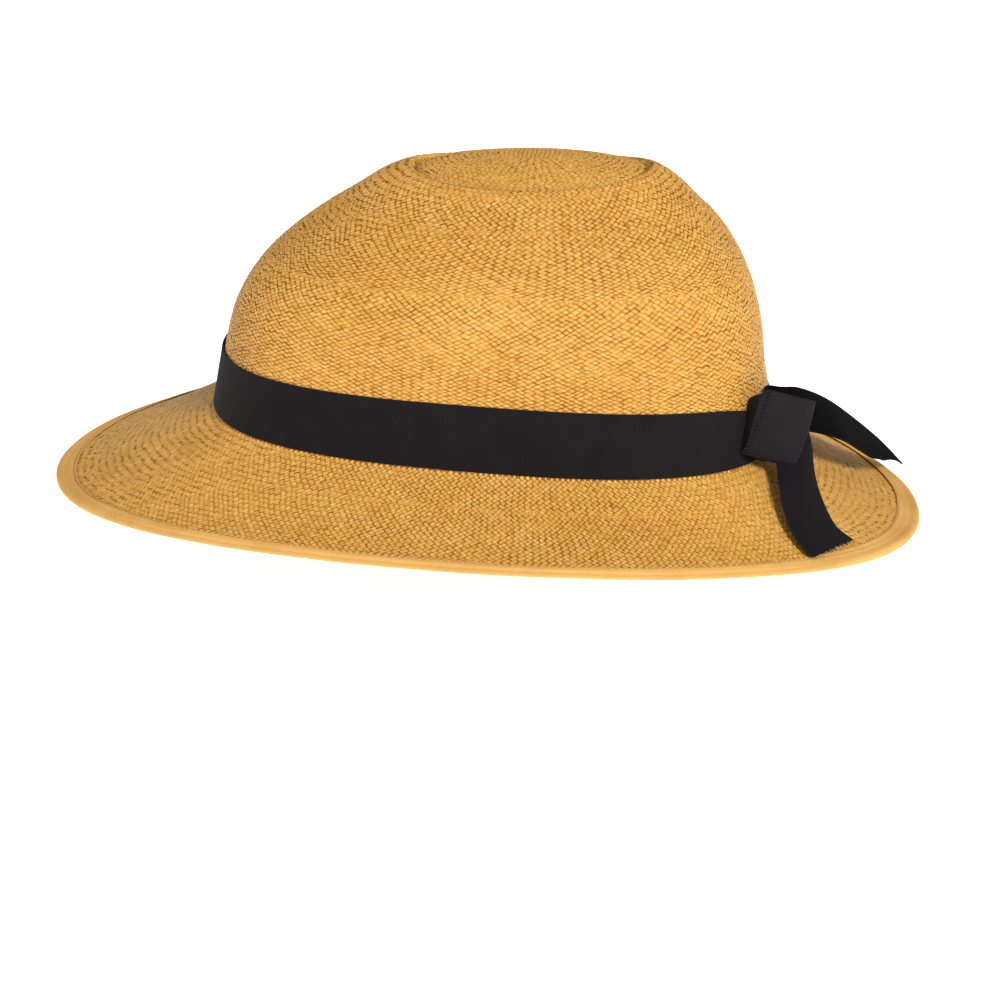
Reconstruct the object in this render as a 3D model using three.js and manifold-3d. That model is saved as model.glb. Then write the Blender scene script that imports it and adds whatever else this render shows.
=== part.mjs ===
// A woven straw hat with a crown as big as a cycling helmet: a brim that slopes down all round,
// a folded tape over the brim's edge, a twill tape round the crown and a flat bow at its back.
// Millimetres. +X is the wearer's left, -Y the front and +Z up. The hat rests on z = 0 with the
// front and the back of its brim, and the origin is under the middle of the brim.

import * as THREE from "three";
import { mergeVertices } from "three/addons/utils/BufferGeometryUtils.js";
import Module from "manifold-3d";

const wasm = await Module();
wasm.setup();

// ---- driving dimensions ----

const STRAW_WALL = 1.8;
const TAPE_WALL = 1.2;
const GAP = 0.3; // between pieces that touch

// Facets round the hat. The stations are half a step off the front, so that one facet faces
// straight ahead and, with an even count, one straight back.
const FACETS_ROUND = 72;

// One level of the hat is a superellipse. Its columns are the shift of its centre to the back,
// the half length, the half width, the power, the height over the origin, the rise per
// millimetre towards the back, and how much its sides lie higher than its ends.
const level = (shift, halfLength, halfWidth, power, height, pitch, lift) => ({
  shift,
  halfLength,
  halfWidth,
  power,
  height,
  pitch,
  lift,
});

const BRIM_EDGE = level(0, 209, 168.6, 2.03, 3.2, 0, 14.6);
const CROWN_FOOT = level(3.2, 135.1, 105.5, 2.6, 40.9, -0.014, 0);
const BAND_LINE = level(2.4, 129.5, 99.5, 2.9, 71.4, -0.012, 0);
const CROWN_WALL = [
  level(2.9, 125.8, 98, 2.7, 92.9, -0.004, 0),
  level(4.1, 118.5, 93.5, 2.55, 110.9, 0.01, 0),
  level(6.6, 107.9, 85.5, 2.45, 125.9, 0.021, 0),
  level(9.1, 96.1, 75.5, 2.35, 137.9, 0.029, -0.5),
  level(10.8, 84.8, 66, 2.25, 146.9, 0.035, -1.5),
  level(12, 75.7, 57.5, 2.2, 154.2, 0.041, -2.5),
  level(12.9, 67.4, 51, 2.15, 159.8, 0.042, -3.3),
];
// The tip: a rim, the crease pressed in behind it, and the low dome that the crease surrounds.
const CROWN_TIP = [
  level(14.6, 58.4, 45, 2.1, 163.3, 0.042, -4),
  level(14.6, 55.4, 42, 2.1, 161.4, 0.042, -2.6),
  level(14.6, 51.6, 39, 2.1, 162.9, 0.042, -3.6),
  level(14.6, 40, 30, 2, 166.4, 0.042, -2.6),
  level(14.6, 22, 17, 2, 168.3, 0.042, -0.8),
];
const APEX = new THREE.Vector3(0, 14.6, 169.5);

// The brim's slope at its edge is this share of its mean slope, and it steepens to the crown.
const BRIM_EDGE_SLOPE = 0.62;
const BRIM_STATIONS = [0, 0.11, 0.25, 0.4, 0.55, 0.7, 0.85, 1];

const BINDING_REACH = 0.11; // how far over the brim the folded tape reaches, as a brim station
const ROLL_STEPS = 5; // facets round the fold
const PRESSED_FLAT = 0.35; // the fold's lowest points are pressed flat where the hat rests

// The straw wall under the band and the band itself, as stations from CROWN_FOOT to BAND_LINE.
const UNDER_BAND = [0.5];
const BAND_STATIONS = [0.023, 0.5, 0.99];

// The bow's knot: the middle of its face, the way that it faces, counted from the wearer's left
// to the back, how far its tape leans, the face's corners across and up, and its depth.
const KNOT_MIDDLE = new THREE.Vector3(58, 138.7, 59.5);
const KNOT_FACES = THREE.MathUtils.degToRad(40);
const KNOT_LEAN = THREE.MathUtils.degToRad(20);
const KNOT_FACE = [
  [-15.5, 16],
  [-15.5, -16],
  [6.5, -16.5],
  [17.5, 1.4],
  [15.5, 16],
];
const KNOT_DEPTH = 12;
const CUTTER_STATIONS = [-0.4, 0.023, 0.5, 0.99, 1.6]; // the same line, past the band at both ends

// The tails: a row is a line across the tape, from its one selvedge to its other.
const fold = (ax, ay, az, bx, by, bz) => [
  new THREE.Vector3(ax, ay, az),
  new THREE.Vector3(bx, by, bz),
];
const FRONT_TAIL = [
  fold(61.6, 139.1, 42.4, 36, 155, 49.6),
  fold(76.7, 140.5, 33.6, 50.6, 157.1, 34.4),
  fold(90.3, 143.9, 24.4, 63.6, 161.1, 25.7),
  fold(101.3, 149.8, 17.2, 73.8, 167.6, 17.2),
  fold(108.5, 153.5, 14, 79, 176, 12.6),
];
const BACK_TAIL = [
  fold(22, 139.5, 67.5, 43, 147, 50.3),
  fold(7.6, 148.8, 63.5, 34.7, 153.9, 50),
  fold(-14.3, 162.1, 53.1, 14.6, 169.4, 42.4),
  fold(-33.7, 175.8, 39.6, -3.3, 179.4, 32.9),
  fold(-49.5, 190.2, 23.2, -19.6, 187.3, 23),
  fold(-59, 200, 11.5, -22, 189.5, 21.5),
];
const TAIL_STEPS = 3; // facets from one row to the next

// ---- levels and rings ----

const mix = (a, b, share) => a + (b - a) * share;

function blend(a, b, share) {
  const made = {};
  for (const column of Object.keys(a)) {
    made[column] = mix(a[column], b[column], share);
  }
  return made;
}

// A level of the brim, from 0 at its edge to 1 at the crown's foot.
function brimLevel(station) {
  const risen = mix(station * station, station, BRIM_EDGE_SLOPE);
  const made = blend(BRIM_EDGE, CROWN_FOOT, station);
  made.height = mix(BRIM_EDGE.height, CROWN_FOOT.height, risen);
  made.lift = mix(BRIM_EDGE.lift, CROWN_FOOT.lift, risen);
  return made;
}

const bandLevel = (station, proud) => {
  const made = blend(CROWN_FOOT, BAND_LINE, station);
  made.halfLength += proud;
  made.halfWidth += proud;
  return made;
};

// The point of a level at an angle that starts at the front and turns to the wearer's left.
function pointOn(l, angle) {
  const c = Math.cos(angle);
  const s = Math.sin(angle);
  const reach = (Math.abs(c) ** l.power + Math.abs(s) ** l.power) ** (-1 / l.power);
  const side = reach * s;
  const y = l.shift - l.halfLength * reach * c;
  return new THREE.Vector3(l.halfWidth * side, y, l.height + l.pitch * y + l.lift * side ** 2);
}

const angles = Array.from(
  { length: FACETS_ROUND },
  (_, i) => ((i + 0.5) * 2 * Math.PI) / FACETS_ROUND,
);
const ringOf = (l) => angles.map((angle) => pointOn(l, angle));

// The outward normals of one ring, given the ring itself and the rings below and above it.
function ringNormals(below, ring, above) {
  return ring.map((_, i) => {
    const before = ring[(i + FACETS_ROUND - 1) % FACETS_ROUND];
    const after = ring[(i + 1) % FACETS_ROUND];
    const along = after.clone().sub(before);
    return along.cross(above[i].clone().sub(below[i])).normalize();
  });
}

// A ring moved by a distance along a list of directions.
const moved = (ring, directions, distance) =>
  ring.map((p, i) => p.clone().addScaledVector(directions[i], distance));

// ---- surfaces ----

class Surface {
  values = [];

  triangle(a, b, c) {
    for (const p of [a, b, c]) this.values.push(p.x, p.y, p.z);
  }

  // The strip between two rings, seen from outside where the second lies above the first.
  strip(lower, upper) {
    lower.forEach((p, i) => {
      const j = (i + 1) % lower.length;
      this.triangle(p, lower[j], upper[j]);
      this.triangle(p, upper[j], upper[i]);
    });
  }

  // Rings that follow each other and close round to the first.
  loop(rings) {
    rings.forEach((ring, i) => this.strip(ring, rings[(i + 1) % rings.length]));
  }

  // A fan from a ring to one point, which faces up.
  fan(ring, tip) {
    ring.forEach((p, i) => this.triangle(p, ring[(i + 1) % ring.length], tip));
  }

  geometry() {
    const made = new THREE.BufferGeometry();
    made.setAttribute("position", new THREE.Float32BufferAttribute(this.values, 3));
    return mergeVertices(made, 1e-3);
  }
}

// ---- crown and brim, one woven piece ----

function strawBody() {
  const brim = BRIM_STATIONS.map(brimLevel);
  const underBand = UNDER_BAND.map((station) => bandLevel(station, 0));
  const walls = [...brim, ...underBand, BAND_LINE, ...CROWN_WALL].map(ringOf);
  const tip = CROWN_TIP.map(ringOf);
  const outer = [...walls, ...tip];
  const down = new THREE.Vector3(0, 0, -STRAW_WALL);
  const inner = outer.map((ring, row) => {
    if (row >= walls.length) return ring.map((p) => p.clone().add(down));
    const below = outer[Math.max(row - 1, 0)];
    return moved(ring, ringNormals(below, ring, outer[row + 1]), -STRAW_WALL);
  });
  const made = new Surface();
  for (let row = 1; row < outer.length; row++) {
    made.strip(outer[row - 1], outer[row]);
    made.strip(inner[row], inner[row - 1]);
  }
  made.strip(inner[0], outer[0]);
  made.fan(outer.at(-1), APEX);
  made.fan(inner.at(-1).toReversed(), APEX.clone().add(down));
  return made.geometry();
}

// ---- folded tape over the brim's edge ----

function edgeBinding() {
  const edge = ringOf(brimLevel(0));
  const reach = ringOf(brimLevel(BINDING_REACH));
  const edgeUp = ringNormals(edge, edge, reach);
  const reachUp = ringNormals(edge, reach, ringOf(brimLevel(2 * BINDING_REACH)));
  const out = edge.map((p, i) => {
    const outward = p.clone().sub(reach[i]);
    return outward.addScaledVector(edgeUp[i], -outward.dot(edgeUp[i])).normalize();
  });
  const middle = moved(edge, edgeUp, -STRAW_WALL / 2);
  const radius = STRAW_WALL / 2 + GAP + TAPE_WALL;
  const roll = [];
  for (let step = 0; step <= ROLL_STEPS; step++) {
    const turn = (step / ROLL_STEPS - 0.5) * Math.PI;
    const rim = moved(middle, out, radius * Math.cos(turn));
    roll.push(moved(rim, edgeUp, radius * Math.sin(turn)));
  }
  const lip = moved(edge, out, GAP);
  const rings = [
    moved(reach, reachUp, -STRAW_WALL - GAP - TAPE_WALL),
    ...roll,
    moved(reach, reachUp, GAP + TAPE_WALL),
    moved(reach, reachUp, GAP),
    moved(lip, edgeUp, GAP),
    moved(lip, edgeUp, -STRAW_WALL - GAP),
    moved(reach, reachUp, -STRAW_WALL - GAP),
  ];
  for (const p of rings.flat()) {
    if (p.z < PRESSED_FLAT) p.z = 0;
  }
  const made = new Surface();
  made.loop(rings);
  return made.geometry();
}

// ---- tape round the crown ----

function hatBand() {
  const near = BAND_STATIONS.map((station) => ringOf(bandLevel(station, GAP)));
  const far = BAND_STATIONS.map((station) => ringOf(bandLevel(station, GAP + TAPE_WALL)));
  const made = new Surface();
  made.loop([...far, ...near.toReversed()]);
  return made.geometry();
}

// ---- the bow ----

function solidOf(geometry) {
  const positions = geometry.clone();
  positions.deleteAttribute("normal");
  positions.deleteAttribute("uv");
  const merged = mergeVertices(positions, 1e-3);
  return new wasm.Manifold(
    new wasm.Mesh({
      numProp: 3,
      vertProperties: new Float32Array(merged.attributes.position.array),
      triVerts: new Uint32Array(merged.index.array),
    }),
  );
}

function geometryOf(solid) {
  const mesh = solid.getMesh();
  const made = new THREE.BufferGeometry();
  made.setAttribute("position", new THREE.BufferAttribute(mesh.vertProperties, mesh.numProp));
  made.setIndex(new THREE.BufferAttribute(mesh.triVerts, 1));
  return made;
}

// The space that the crown and its band fill behind the knot, with the gap round them.
function crownCutter() {
  const proud = GAP + TAPE_WALL + GAP;
  const rings = CUTTER_STATIONS.map((station) => ringOf(bandLevel(station, proud)));
  const middleOf = (ring) => new THREE.Vector3(0, 0, ring[0].z);
  const made = new Surface();
  for (let row = 1; row < rings.length; row++) made.strip(rings[row - 1], rings[row]);
  made.fan(rings.at(-1), middleOf(rings.at(-1)));
  made.fan(rings[0].toReversed(), middleOf(rings[0]));
  return solidOf(made.geometry());
}

function bowKnot() {
  const face = new THREE.Shape(KNOT_FACE.map(([across, up]) => new THREE.Vector2(across, up)));
  const made = new THREE.ExtrudeGeometry(face, { depth: KNOT_DEPTH, bevelEnabled: false });
  const out = new THREE.Vector3(Math.cos(KNOT_FACES), Math.sin(KNOT_FACES), 0);
  const level = new THREE.Vector3(-out.y, out.x, 0);
  const across = level.clone().applyAxisAngle(out, -KNOT_LEAN);
  const up = out.clone().cross(across);
  made.translate(0, 0, -KNOT_DEPTH);
  made.applyMatrix4(new THREE.Matrix4().makeBasis(across, up, out).setPosition(KNOT_MIDDLE));
  return geometryOf(solidOf(made).subtract(crownCutter()));
}

// A strip of tape through its rows, TAPE_WALL thick.
function tail(rows) {
  const stations = TAIL_STEPS * (rows.length - 1);
  const [one, other] = [0, 1].map((side) =>
    new THREE.CatmullRomCurve3(rows.map((row) => row[side])),
  );
  const sections = [];
  for (let i = 0; i <= stations; i++) {
    const share = i / stations;
    const [a, b] = [one.getPoint(share), other.getPoint(share)];
    const along = one.getTangent(share).add(other.getTangent(share));
    const half = b.clone().sub(a).cross(along).normalize().multiplyScalar(TAPE_WALL / 2);
    sections.push([
      a.clone().add(half),
      b.clone().add(half),
      b.clone().sub(half),
      a.clone().sub(half),
    ]);
  }
  const made = new Surface();
  for (let i = 1; i <= stations; i++) made.strip(sections[i - 1], sections[i]);
  const end = (s) => {
    made.triangle(s[0], s[1], s[2]);
    made.triangle(s[0], s[2], s[3]);
  };
  end(sections[stations]);
  end(sections[0].toReversed());
  return made.geometry();
}

// ---- the hat ----

const straw = new THREE.MeshStandardMaterial({ color: 0xdba556, roughness: 0.75, metalness: 0 });
const tan = new THREE.MeshStandardMaterial({ color: 0xd9a45e, roughness: 0.85, metalness: 0 });
const black = new THREE.MeshStandardMaterial({ color: 0x1d1b1d, roughness: 0.8, metalness: 0 });

const hat = new THREE.Group();

function add(name, geometry, material) {
  const mesh = new THREE.Mesh(geometry, material);
  mesh.name = name;
  hat.add(mesh);
}

add("straw_body", strawBody(), straw);
add("edge_binding", edgeBinding(), tan);
add("hat_band", hatBand(), black);
add("bow_knot", bowKnot(), black);
add("bow_tail_front", tail(FRONT_TAIL), black);
add("bow_tail_back", tail(BACK_TAIL), black);

export default hat;
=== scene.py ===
"""A woven straw hat with a crown as big as a cycling helmet, its brim bound with folded tape,
a herringbone tape round the crown and a flat bow at its back on the wearer's left.

Lengths are millimetres until a mesh is made, and metres from there. +X is the wearer's left,
-Y the front and +Z up. The hat rests on z = 0 with the front and the back of its brim."""

import math

import bmesh
import bpy
import numpy as np
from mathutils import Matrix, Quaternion, Vector


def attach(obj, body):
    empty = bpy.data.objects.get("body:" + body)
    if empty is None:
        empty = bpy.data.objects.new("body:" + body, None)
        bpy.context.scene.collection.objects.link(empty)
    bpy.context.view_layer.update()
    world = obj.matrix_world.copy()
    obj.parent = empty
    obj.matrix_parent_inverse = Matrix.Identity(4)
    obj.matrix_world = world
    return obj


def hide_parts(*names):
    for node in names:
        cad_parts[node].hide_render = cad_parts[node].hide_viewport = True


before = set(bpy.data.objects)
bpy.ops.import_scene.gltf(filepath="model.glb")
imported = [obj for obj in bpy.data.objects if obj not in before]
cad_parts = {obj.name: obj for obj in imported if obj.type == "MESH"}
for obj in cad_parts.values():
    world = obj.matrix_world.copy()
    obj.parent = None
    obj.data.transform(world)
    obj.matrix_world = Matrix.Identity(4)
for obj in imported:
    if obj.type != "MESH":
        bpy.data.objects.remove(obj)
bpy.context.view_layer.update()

MM = 0.001
rng = np.random.default_rng(20)

# ---------------------------------------------------------------- the shape, as in the CAD

# A level of the hat is a superellipse: the shift of its centre to the back, half length, half
# width, power, height over the floor, rise per millimetre to the back, lift of its sides.
BRIM_EDGE = (0, 209, 168.6, 2.03, 3.2, 0, 14.6)
CROWN_FOOT = (3.2, 135.1, 105.5, 2.6, 40.9, -0.014, 0)
BAND_LINE = (2.4, 129.5, 99.5, 2.9, 71.4, -0.012, 0)
CROWN_WALL = [
    (2.9, 125.8, 98, 2.7, 92.9, -0.004, 0),
    (4.1, 118.5, 93.5, 2.55, 110.9, 0.01, 0),
    (6.6, 107.9, 85.5, 2.45, 125.9, 0.021, 0),
    (9.1, 96.1, 75.5, 2.35, 137.9, 0.029, -0.5),
    (10.8, 84.8, 66, 2.25, 146.9, 0.035, -1.5),
    (12, 75.7, 57.5, 2.2, 154.2, 0.041, -2.5),
    (12.9, 67.4, 51, 2.15, 159.8, 0.042, -3.3),
]
CROWN_TIP = [
    (14.6, 58.4, 45, 2.1, 163.3, 0.042, -4),
    (14.6, 55.4, 42, 2.1, 161.4, 0.042, -2.6),
    (14.6, 51.6, 39, 2.1, 162.9, 0.042, -3.6),
    (14.6, 40, 30, 2, 166.4, 0.042, -2.6),
    (14.6, 22, 17, 2, 168.3, 0.042, -0.8),
    (14.6, 0, 0, 2, 168.9, 0.042, 0),
]
BEYOND_APEX = (14.6, -22, -17, 2, 168.3, 0.042, -0.8)
BRIM_EDGE_SLOPE = 0.62
STRAW_WALL = 1.8

GRID_COLUMNS = 1440
GRID_STEP = 0.75  # along a meridian
BRIM_STEPS = 26
BAND_STEPS = 6
CROWN_STEPS = 8  # between two of the crown's levels
GROOVE_ROW = BRIM_STEPS + BAND_STEPS + CROWN_STEPS * 9
GROOVE_DEPTH = 1.6
GROOVE_SPAN = 0.7


def unit(vectors):
    return vectors / np.linalg.norm(vectors, axis=-1, keepdims=True)


def running(lengths):
    """0, then the sum of the lengths so far."""
    return np.concatenate([[0], np.cumsum(lengths)])


def gaps(points):
    """The lengths between each point, or row of points, and the next."""
    return np.linalg.norm(np.diff(points, axis=0), axis=-1)


def eased(share):
    return share * share * (3 - 2 * share)


def brim_level(station):
    """The brim's level, from 0 at its edge to 1 at the crown's foot."""
    edge = np.array(BRIM_EDGE)
    rise = np.array(CROWN_FOOT) - edge
    share = np.full(7, station)
    share[[4, 6]] = BRIM_EDGE_SLOPE * station + (1 - BRIM_EDGE_SLOPE) * station**2
    return edge + rise * share


def smooth_rows(rows, steps):
    """Rows on one smooth curve through the given rows, after the first and before the last."""
    rows = np.array(rows, float)
    chord = np.hypot(np.diff(rows[:, 1]), np.diff(rows[:, 4]))
    at = running(np.sqrt(chord))
    pace = np.diff(rows, axis=0) / np.diff(at)[:, None]
    made = []
    for k in range(1, len(rows) - 2):
        before, here, after = pace[k - 1 : k + 2]
        span = at[k + 1] - at[k]
        wa = span / (at[k + 1] - at[k - 1])
        wb = span / (at[k + 2] - at[k])
        start = (before * wa + here * (1 - wa)) * span
        end = (here * (1 - wb) + after * wb) * span
        for t in np.arange(steps) / steps:
            made.append(
                (2 * t**3 - 3 * t**2 + 1) * rows[k]
                + (t**3 - 2 * t**2 + t) * start
                + (3 * t**2 - 2 * t**3) * rows[k + 1]
                + (t**3 - t**2) * end
            )
    made.append(rows[-2])
    return made


def ring(row, angle):
    """Points of a level at angles that start at the front and turn to the wearer's left."""
    shift, length, width, power, height, pitch, lift = row
    c = np.cos(angle)
    s = np.sin(angle)
    reach = (np.abs(c) ** power + np.abs(s) ** power) ** (-1 / power)
    y = shift - length * reach * c
    z = height + pitch * y + lift * (reach * s) ** 2
    return np.stack([width * reach * s, y, z], -1)


def even_ring(points):
    """A closed ring, its first point repeated last, sampled evenly along its length."""
    along = running(gaps(points))
    share = np.arange(GRID_COLUMNS) / GRID_COLUMNS * along[-1]
    if along[-1] < 1e-6:
        return np.repeat(points[:1], GRID_COLUMNS, axis=0)
    return np.stack([np.interp(share, along, points[:, k]) for k in range(3)], -1)


def bumps(points):
    """How far the hand-blocked straw stands out from its true shape, at these points."""
    x, y, z = points[..., 0] / 100, points[..., 1] / 100, points[..., 2] / 100
    slow = np.sin(3.1 * y + 2.2 * z + 0.6) * np.cos(2.7 * x - 3.9 * z + 0.4)
    quick = np.sin(7.3 * y - 5.1 * z + 1.9) * np.cos(8.2 * x + 2.4 * y + 1.1)
    return 0.28 * slow + 0.14 * quick


def groove(m, bottom):
    """How much deeper the crease inside the tip's rim is, most at the front and the back."""
    f = np.arange(GRID_COLUMNS) / GRID_COLUMNS
    share = np.exp(-(((m - bottom + 0.3) / GROOVE_SPAN) ** 2))
    return GROOVE_DEPTH * share[:, None] * np.abs(np.cos(math.tau * f)) ** 5


class Skin:
    """The straw's outer surface on an even grid: m runs up from the brim's edge, in
    millimetres, and f round the hat, from 0 at the front to 1."""

    def __init__(self, rows):
        angle = np.linspace(0, math.tau, 2 * GRID_COLUMNS + 1)
        rings = np.array([even_ring(ring(row, angle)) for row in rows])
        along = running(gaps(rings).mean(1))
        self.height = along[-1]
        self.row_at = along
        self.count = int(self.height / GRID_STEP) + 1
        self.step = self.height / (self.count - 1)
        want = np.arange(self.count) * self.step
        low = np.clip(np.searchsorted(along, want, side="right") - 1, 0, len(rows) - 2)
        share = ((want - along[low]) / (along[low + 1] - along[low]))[:, None, None]
        self.points = rings[low] * (1 - share) + rings[low + 1] * share
        self.normals = self.slopes()
        proud = bumps(self.points) - groove(want, along[GROOVE_ROW])
        self.points = self.points + self.normals * proud[..., None]
        self.normals = self.slopes()
        edge = np.roll(self.points, -1, axis=1) - self.points
        self.around = np.linalg.norm(edge, axis=2).sum(1)

    def slopes(self):
        across = np.roll(self.points, -1, axis=1) - np.roll(self.points, 1, axis=1)
        made = np.cross(across, np.gradient(self.points, axis=0))
        made[-2:] = (0, 0, 1)
        return unit(made)

    def mix(self, grid, m, f):
        row = np.clip(np.asarray(m) / self.step, 0, self.count - 1.001)
        column = (np.asarray(f) % 1) * GRID_COLUMNS
        i = row.astype(int)
        j = column.astype(int) % GRID_COLUMNS
        k = (j + 1) % GRID_COLUMNS
        a = (row - i)[..., None]
        b = (column - np.floor(column))[..., None]
        low = grid[i, j] * (1 - b) + grid[i, k] * b
        high = grid[i + 1, j] * (1 - b) + grid[i + 1, k] * b
        return low * (1 - a) + high * a

    def at(self, m, f, proud=0.0):
        """Points at these places, this far out from the surface."""
        out = np.asarray(proud)[..., None]
        return self.mix(self.points, m, f) + self.mix(self.normals, m, f) * out

    def normal(self, m, f):
        return unit(self.mix(self.normals, m, f))

    def length_round(self, m):
        return np.interp(m, np.arange(self.count) * self.step, self.around)


brim_rows = [brim_level(k / BRIM_STEPS) for k in range(BRIM_STEPS)]
foot, line = np.array(CROWN_FOOT), np.array(BAND_LINE)
band_rows = [foot + (line - foot) * k / BAND_STEPS for k in range(BAND_STEPS)]
crown_rows = smooth_rows(
    [foot + (line - foot) * 0.5, BAND_LINE, *CROWN_WALL, *CROWN_TIP, BEYOND_APEX], CROWN_STEPS
)
skin = Skin(brim_rows + band_rows + crown_rows)
FOOT_M = float(skin.row_at[BRIM_STEPS])
BAND_M = float(skin.row_at[BRIM_STEPS + BAND_STEPS])
GROOVE_M = float(skin.row_at[GROOVE_ROW])


# ---------------------------------------------------------------- meshes

def mesh_piece(name, points, faces, material):
    """A new object that rides on the hat, from points in millimetres and rows of faces."""
    me = bpy.data.meshes.new(name)
    faces = np.asarray(faces, np.int32)
    count, sides = faces.shape
    points = np.asarray(points, np.float32) * MM
    me.vertices.add(len(points))
    me.vertices.foreach_set("co", points.ravel())
    me.loops.add(faces.size)
    me.loops.foreach_set("vertex_index", faces.ravel())
    me.polygons.add(count)
    me.polygons.foreach_set("loop_start", np.arange(0, faces.size, sides, dtype=np.int32))
    me.polygons.foreach_set("use_smooth", np.full(count, True))
    me.update(calc_edges=True)
    me.validate()
    me.materials.append(material)
    made = bpy.data.objects.new(name, me)
    bpy.context.scene.collection.objects.link(made)
    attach(made, "root")
    return made


def set_map(piece, name, uv):
    """Gives the piece a UV map from one row for each corner of its faces."""
    layer = piece.data.uv_layers.new(name=name, do_init=False)
    layer.uv.foreach_set("vector", np.asarray(uv, np.float32).ravel())


def set_grid_map(piece, name, place):
    """The same for a piece of quads in rows, from the map's place at every corner of the grid."""
    corners = [place[:-1, :-1], place[:-1, 1:], place[1:, 1:], place[1:, :-1]]
    set_map(piece, name, np.stack(corners, 2).reshape(-1, 2))


def set_number(piece, name, values):
    """Gives each point of the piece a number that its material reads."""
    layer = piece.data.attributes.new(name, "FLOAT", "POINT")
    layer.data.foreach_set("value", np.asarray(values, np.float32))


def grid_faces(rows, columns, closed=False):
    """Quads over a grid of points that is stored row by row."""
    i = np.arange(rows - 1)[:, None]
    j = np.arange(columns if closed else columns - 1)
    k = (j + 1) % columns
    a, b = i * columns + j, i * columns + k
    return np.stack([a, b, b + columns, a + columns], -1).reshape(-1, 4)


def copies(faces, count, size):
    """The faces again for each of count groups of size points."""
    return (faces + (np.arange(count) * size)[:, None, None]).reshape(-1, 4)


# ---------------------------------------------------------------- materials

class Paint:
    """A material, with short ways to add to its nodes."""

    def __init__(self, name, roughness, specular):
        self.made = bpy.data.materials.new(name)
        self.made.use_nodes = True
        tree = self.made.node_tree
        self.nodes, self.links = tree.nodes, tree.links
        self.sockets = self.nodes["Principled BSDF"].inputs
        self.sockets["Roughness"].default_value = roughness
        self.sockets["Specular IOR Level"].default_value = specular

    def add(self, kind, **settings):
        made = self.nodes.new(kind)
        for key, value in settings.items():
            setattr(made, key, value)
        return made

    def feed(self, socket, value):
        """Gives a socket a number, a colour or a link."""
        if isinstance(value, (int, float)):
            socket.default_value = value
        elif isinstance(value, tuple):
            socket.default_value = (*value, 1)
        else:
            self.links.new(value, socket)

    def filled(self, node, *values):
        """The node's output from links or numbers."""
        for socket, value in zip(node.inputs, values):
            self.feed(socket, value)
        return node.outputs[0]

    def work(self, operation, *values):
        return self.filled(self.add("ShaderNodeMath", operation=operation), *values)

    def vector(self, *parts):
        return self.filled(self.add("ShaderNodeCombineXYZ"), *parts)

    def ramp(self, factor, stops):
        made = self.add("ShaderNodeValToRGB")
        elements = made.color_ramp.elements
        while len(elements) < len(stops):
            elements.new(0.5)
        for element, (place, colour) in zip(elements, stops):
            element.position = place
            element.color = (*colour, 1)
        return self.filled(made, factor)

    def mix(self, kind, factor, a, b):
        made = self.add("ShaderNodeMix", data_type="RGBA", blend_type=kind)
        for k, value in ((0, factor), (6, a), (7, b)):
            self.feed(made.inputs[k], value)
        return made.outputs[2]

    def noise(self, scale, detail=2.0, at=None):
        """Noise over the piece, or over another vector."""
        if at is None:
            at = self.add("ShaderNodeTexCoord").outputs["Object"]
        made = self.add("ShaderNodeTexNoise")
        made.inputs["Scale"].default_value = scale
        made.inputs["Detail"].default_value = detail
        return self.filled(made, at)

    def wave(self, place, length):
        return self.work("SINE", self.work("MULTIPLY", place, math.tau / length))

    def number(self, name):
        """A number that the piece's points carry."""
        return self.add("ShaderNodeAttribute", attribute_name=name).outputs["Fac"]

    def place_on(self, name):
        """The two lengths of a UV map."""
        place = self.add("ShaderNodeUVMap", uv_map=name)
        split = self.add("ShaderNodeSeparateXYZ")
        return self.filled(split, place.outputs[0]), split.outputs[1]

    def finish(self, colour, strength=0.0, distance=0.0, height=None):
        """Sets the colour and, from a height, the bump, whose distance is in metres."""
        self.feed(self.sockets["Base Color"], colour)
        if height is not None:
            bump = self.add("ShaderNodeBump")
            bump.inputs["Strength"].default_value = strength
            bump.inputs["Distance"].default_value = distance
            self.feed(bump.inputs["Height"], height)
            self.feed(self.sockets["Normal"], bump.outputs[0])
        return self.made


STRAW_STOPS = [
    (0.0, (0.42, 0.188, 0.028)),
    (0.3, (0.59, 0.298, 0.054)),
    (0.65, (0.68, 0.358, 0.075)),
    (1.0, (0.77, 0.440, 0.134)),
]
# Painted shade: the dark of the gaps between straws and of the seams where floats dive under.
GAP_SHADE_COLOUR = (0.22, 0.085, 0.009)
SEAM_SHADE_COLOUR = (0.40, 0.164, 0.016)


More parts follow.
